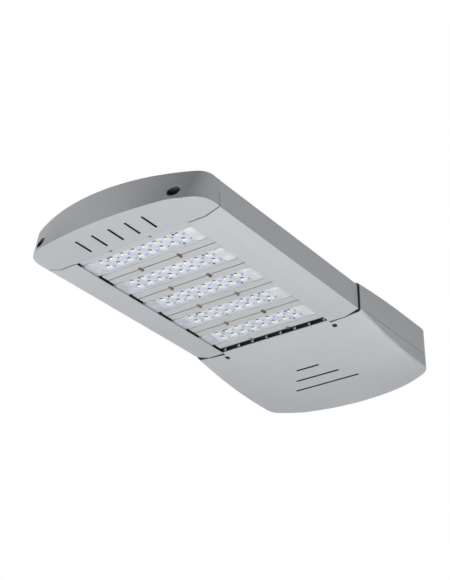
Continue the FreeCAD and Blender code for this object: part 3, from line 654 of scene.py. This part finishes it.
# small screws beside the lenses

plateScrew = {
    "radius": 0.0019,
    "height": 0.0013,
    "recess": 0.0006,
    "rim": 0.0007,
    "bevel": 0.0004,
    "tones": ((122, 128, 138), (84, 90, 99)),
    # from the plate's centre
    "places": ((0.0144, -0.061), (0.0144, 0.019), (-0.0144, -0.062), (-0.0144, 0.057)),
}


def makePlateScrew(place):
    clearSelection()
    bpy.ops.mesh.primitive_cylinder_add(vertices=16, radius=plateScrew["radius"],
                                        depth=plateScrew["height"], location=place)
    screw = settle(bpy.context.object)
    low = place[2] - plateScrew["height"] / 2
    bevelEdges(screw, plateScrew["bevel"], 2, lambda a, b: a.z < low + 1e-6 and b.z < low + 1e-6)
    selectFaces(screw, lambda centre, normal: normal.z < -0.99)
    bpy.ops.mesh.inset(thickness=plateScrew["rim"], depth=-plateScrew["recess"])
    bpy.ops.object.mode_set(mode="OBJECT")
    return screw


def makePlateScrews(centreX):
    z = head["opticsHeight"] - lensPlate["face"] - plateScrew["height"] / 2 + 0.0002
    master = makePlateScrew((centreX, 0, z))
    pieces = []
    for x, y in plateScrew["places"]:
        pieces.append(copyOf(master, "plateScrew", (x, y, 0)))
    bpy.data.objects.remove(master)
    whole = joined("plateScrews1", pieces)
    smooth(whole, 35)
    return whole


# edge strips that close the gap between the modules and the near rail

edgeStrip = {
    "low": -0.0172,
    "high": -0.0157,
    "inner": -0.0992,
    "outer": -0.1033,
    "reach": 0.0176,            # along the head, to each side of a seam
    "gap": 0.0004,
    "bevel": 0.0003,
    "rim": 0.0005,
}


def makeEdgeStrip(seamX, before, after):
    low = (seamX - before, edgeStrip["outer"], edgeStrip["low"])
    high = (seamX + after, edgeStrip["inner"], edgeStrip["high"])
    strip = addCube("edgeStrip", low, high)
    bevelEdges(strip, edgeStrip["bevel"], 2, lambda a, b: a.z < low[2] + 1e-6 and b.z < low[2] + 1e-6)
    selectFaces(strip, lambda centre, normal: normal.z < -0.99)
    bpy.ops.mesh.inset(thickness=edgeStrip["rim"], depth=0.0001)
    bpy.ops.object.mode_set(mode="OBJECT")
    return strip


def makeEdgeStrips():
    pieces = []
    for k in range(head["modules"] + 1):
        before = edgeStrip["reach"] if k > 0 else -edgeStrip["gap"]
        after = edgeStrip["reach"] if k < head["modules"] else -edgeStrip["gap"]
        pieces.append(makeEdgeStrip(head["arrayStart"] + k * head["modulePitch"], before, after))
    whole = joined("edgeStrips", pieces)
    smooth(whole, 35)
    return whole


# lip along the front edge of the driver cover, which follows the slope of its face

coverLip = {
    "front": -0.2711,
    "rear": -0.2656,
    "halfLength": 0.1032,
    "low": -0.01948,
    "high": -0.0178,
    "climb": 0.0005,            # how much higher its front edge lies
    "bevel": 0.0004,
}


def makeCoverLip():
    low = (coverLip["front"], -coverLip["halfLength"], coverLip["low"])
    high = (coverLip["rear"], coverLip["halfLength"], coverLip["high"])
    lip = addCube("coverLip", low, high)
    selectFaces(lip, lambda centre, normal: normal.x < -0.99)
    bpy.ops.transform.translate(value=(0, 0, coverLip["climb"]))
    bpy.ops.object.mode_set(mode="OBJECT")
    bevelEdges(lip, coverLip["bevel"], 3, lambda a, b: abs(a.y - b.y) > 0.1 and a.x < low[0] + 1e-5)
    smooth(lip, 35)
    return lip


# the pieces

firstX = head["arrayStart"] + head["modulePitch"] / 2
plates = [makeLensPlate(firstX)]
screws = [makePlateScrews(firstX)]
for k in range(1, head["modules"]):
    plates.append(copyOf(plates[0], "lensPlate%d" % (k + 1), (k * head["modulePitch"], 0, 0)))
    screws.append(copyOf(screws[0], "plateScrews%d" % (k + 1), (k * head["modulePitch"], 0, 0)))
strips = makeEdgeStrips()
lip = makeCoverLip()
print("lens plates, their screws, the edge strips and the cover's lip modelled")

clearPlate = clearPlateFinish("clearMoulding")
headSteel = bareMetalFinish("screwSteel", *plateScrew["tones"], 0.4)
for k, (plate, screwSet) in enumerate(zip(plates, screws)):
    plate.data.materials.clear()
    plate.data.materials.append(clearPlate)
    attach(plate, "root")
    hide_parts("module_%d_lens" % (k + 1))
    screwSet.data.materials.clear()
    screwSet.data.materials.append(headSteel)
    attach(screwSet, "root")

strips.data.materials.clear()
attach(strips, "root")
lip.data.materials.clear()
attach(lip, "root")

# finishes of the carried-over nodes

coat = powderCoatFinish("powderCoat")
# the same powder coat: the nose 7 levels darker as painted shade, the cover 3 lighter as painted light
coatNose = powderCoatFinish("powderCoatNose", -7, noseMarks)
coatRail = powderCoatFinish("powderCoatRail", 0, railMarks)
coatCover = powderCoatFinish("powderCoatCover", 3, coverMarks)
coatGrille = grilleFinish("grillePaintedShade")
satin = anodisedFinish("satinAluminium")
satinModule = anodisedFinish("satinModule", seams=True)
# cross bars painted dark as painted shade
darkBar = bareMetalFinish("shadedBar", (60, 66, 68), (44, 49, 51), 0.2)
bare = bareMetalFinish("machinedAluminium", (200, 201, 203), (182, 184, 187), 0.85)
steel = bareMetalFinish("stainless", (176, 176, 174), (150, 150, 149))
darkSteel = bareMetalFinish("darkSteel", (84, 94, 96), (62, 71, 74), 0.3)
bronze = bareMetalFinish("passivatedBronze", (150, 142, 122), (112, 103, 84), 0.3)
zinc = bareMetalFinish("galvanised", (182, 184, 185), (160, 163, 165), 0.75)
rubber = mouldedFinish("rubber", (18, 28, 29), (9, 18, 19), 0.7)
board = mouldedFinish("solderMask", (232, 234, 232), (222, 225, 224), 0.4)
phosphor = mouldedFinish("phosphor", (240, 222, 120), (232, 210, 100), 0.5)
nylon = mouldedFinish("nylon", (28, 28, 29), (20, 20, 21), 0.45)
ivory = mouldedFinish("ivoryNylon", (226, 225, 216), (216, 214, 204), 0.5)
potted = mouldedFinish("pottedCase", (44, 45, 48), (32, 33, 36), 0.5)

finishOf = {
    "nose_cap": coatNose,
    "driver_housing": coat,
    "driver_cover": coatCover,
    "rail_left": coatRail,
    "rail_right": coatRail,
    "vent_grille": coatGrille,
    "front_seal": rubber,
    "cover_gasket": rubber,
    "module_screws": bronze,
    "cross_bar": darkBar,
    "pole_socket": bare,
    "gear_tray": zinc,
    "led_driver": satin,
    "terminal_block": ivory,
    "surge_protector": potted,
    "cable_gland": nylon,
    "breather_valve": nylon,
    "heatsink": satinModule,
    "board": board,
    "emitters": phosphor,
    "gasket": rubber,
    "cover_screws": darkSteel,
    "nose_screws": darkSteel,
    "lens": clearPlate,
    "screws": steel,
    "bolts": steel,
}


def finishFor(name):
    # by the whole name, or else by the first entry that is a part of it
    if name in finishOf:
        return finishOf[name]
    return next(finish for key, finish in finishOf.items() if key in name)


for name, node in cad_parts.items():
    for slot in node.material_slots:
        slot.material = finishFor(name)
strips.data.materials.append(satinModule)
lip.data.materials.append(coatCover)
print("finishes assigned")

# floor, world and lamps

studio = {
    "floorHeight": -3.4,
    "floorSize": 18,
    "floorTone": (242, 242, 242),
    "floorGlow": 0.7,           # share of plain white that the camera sees in the floor
    "fill": 0.04,
    "lamps": (
        # name, place around the head, size, strength at the head
        ("frontLamp", (-1.6, -0.3, -2.0), 1.8, 0.575),
        ("nearLamp", (-0.35, -1.4, -2.0), 1.8, 0.35),
        ("leftLamp", (-2.2, 2.0, -0.4), 1.6, 0.35),
        ("rightLamp", (1.0, -2.6, -0.4), 1.6, 0.118),
        ("topLamp", (-0.1, 0.25, 1.3), 1.3, 0.60),
        ("backLamp", (1.7, 0.7, 0.6), 1.3, 0.40),
    ),
    "aim": (-0.352, 0, 0),
}


def addLamp(name, place, size, strength):
    light = bpy.data.lights.new(name, "AREA")
    light.shape = "DISK"
    light.size = size
    away = Vector(place) - Vector(studio["aim"])
    light.energy = strength * math.pi ** 2 * away.length_squared
    lamp = bpy.data.objects.new(name, light)
    lamp.location = place
    lamp.rotation_euler = away.to_track_quat("Z", "Y").to_euler()
    bpy.context.collection.objects.link(lamp)


for lamp in studio["lamps"]:
    addLamp(*lamp)

clearSelection()
floorPlace = (studio["aim"][0], 0, studio["floorHeight"])
bpy.ops.mesh.primitive_plane_add(size=studio["floorSize"], location=floorPlace)
floor = bpy.context.object
floor.name = "studioFloor"
floorFinish = Finish("paleFloor")
seen = floorFinish.add("ShaderNodeLightPath", {}, {}, "Is Camera Ray")
glow = floorFinish.add("ShaderNodeEmission", {}, {"Color": (1, 1, 1, 1), "Strength": 1.0})
floorFinish.shade(Base_Color=tone(*studio["floorTone"]), Roughness=0.8)
painted = Field(floorFinish, floorFinish.shader.outputs[0])
both = floorFinish.add("ShaderNodeMixShader", {}, {0: seen * studio["floorGlow"], 1: painted, 2: glow})
floorFinish.feed(floorFinish.tree.nodes["Material Output"], {0: both})
floor.data.materials.append(floorFinish.material)

world = bpy.data.worlds.new("studioWorld")
bpy.context.scene.world = world
world.use_nodes = True
sky = NodeMaker(world.node_tree)
rays = [sky.add("ShaderNodeLightPath", {}, {}, kind)
        for kind in ("Is Camera Ray", "Is Glossy Ray", "Is Transmission Ray")]
shown = rays[0] + rays[1] + rays[2]
level = sky.add("ShaderNodeMapRange", {}, {"Value": shown, "To Min": studio["fill"], "To Max": 1.0})
sky.feed(sky.tree.nodes["Background"], {"Color": (1, 1, 1, 1), "Strength": level})
print("studio set")

# camera

cameraView = {
    "azimuth": -54.64,              # degrees, round the head
    "elevation": -28.04,
    "distance": 2.05724,
    "across": 0.0320,
    "rise": -0.00195,
    "shift": (-0.466, 0, -0.014),   # the point that it turns about
    "lens": 83.376,
}

azimuth = math.radians(cameraView["azimuth"])
elevation = math.radians(cameraView["elevation"])
flat = math.cos(elevation)
back = Vector((math.sin(azimuth) * flat, -math.cos(azimuth) * flat, math.sin(elevation)))
right = Vector((0, 0, 1)).cross(back).normalized()
up = back.cross(right)
camera = bpy.data.objects.new("camera", bpy.data.cameras.new("camera"))
camera.data.lens = cameraView["lens"]
camera.data.sensor_width = 36
camera.data.clip_start = 0.05
camera.data.clip_end = 50
spot = right * cameraView["across"] + up * cameraView["rise"] + back * cameraView["distance"]
spot += Vector(cameraView["shift"])
camera.matrix_world = Matrix.Translation(spot) @ Matrix((right, up, back)).transposed().to_4x4()
bpy.context.collection.objects.link(camera)
bpy.context.scene.camera = camera
bpy.context.scene.view_settings.view_transform = "Standard"
print("camera set")
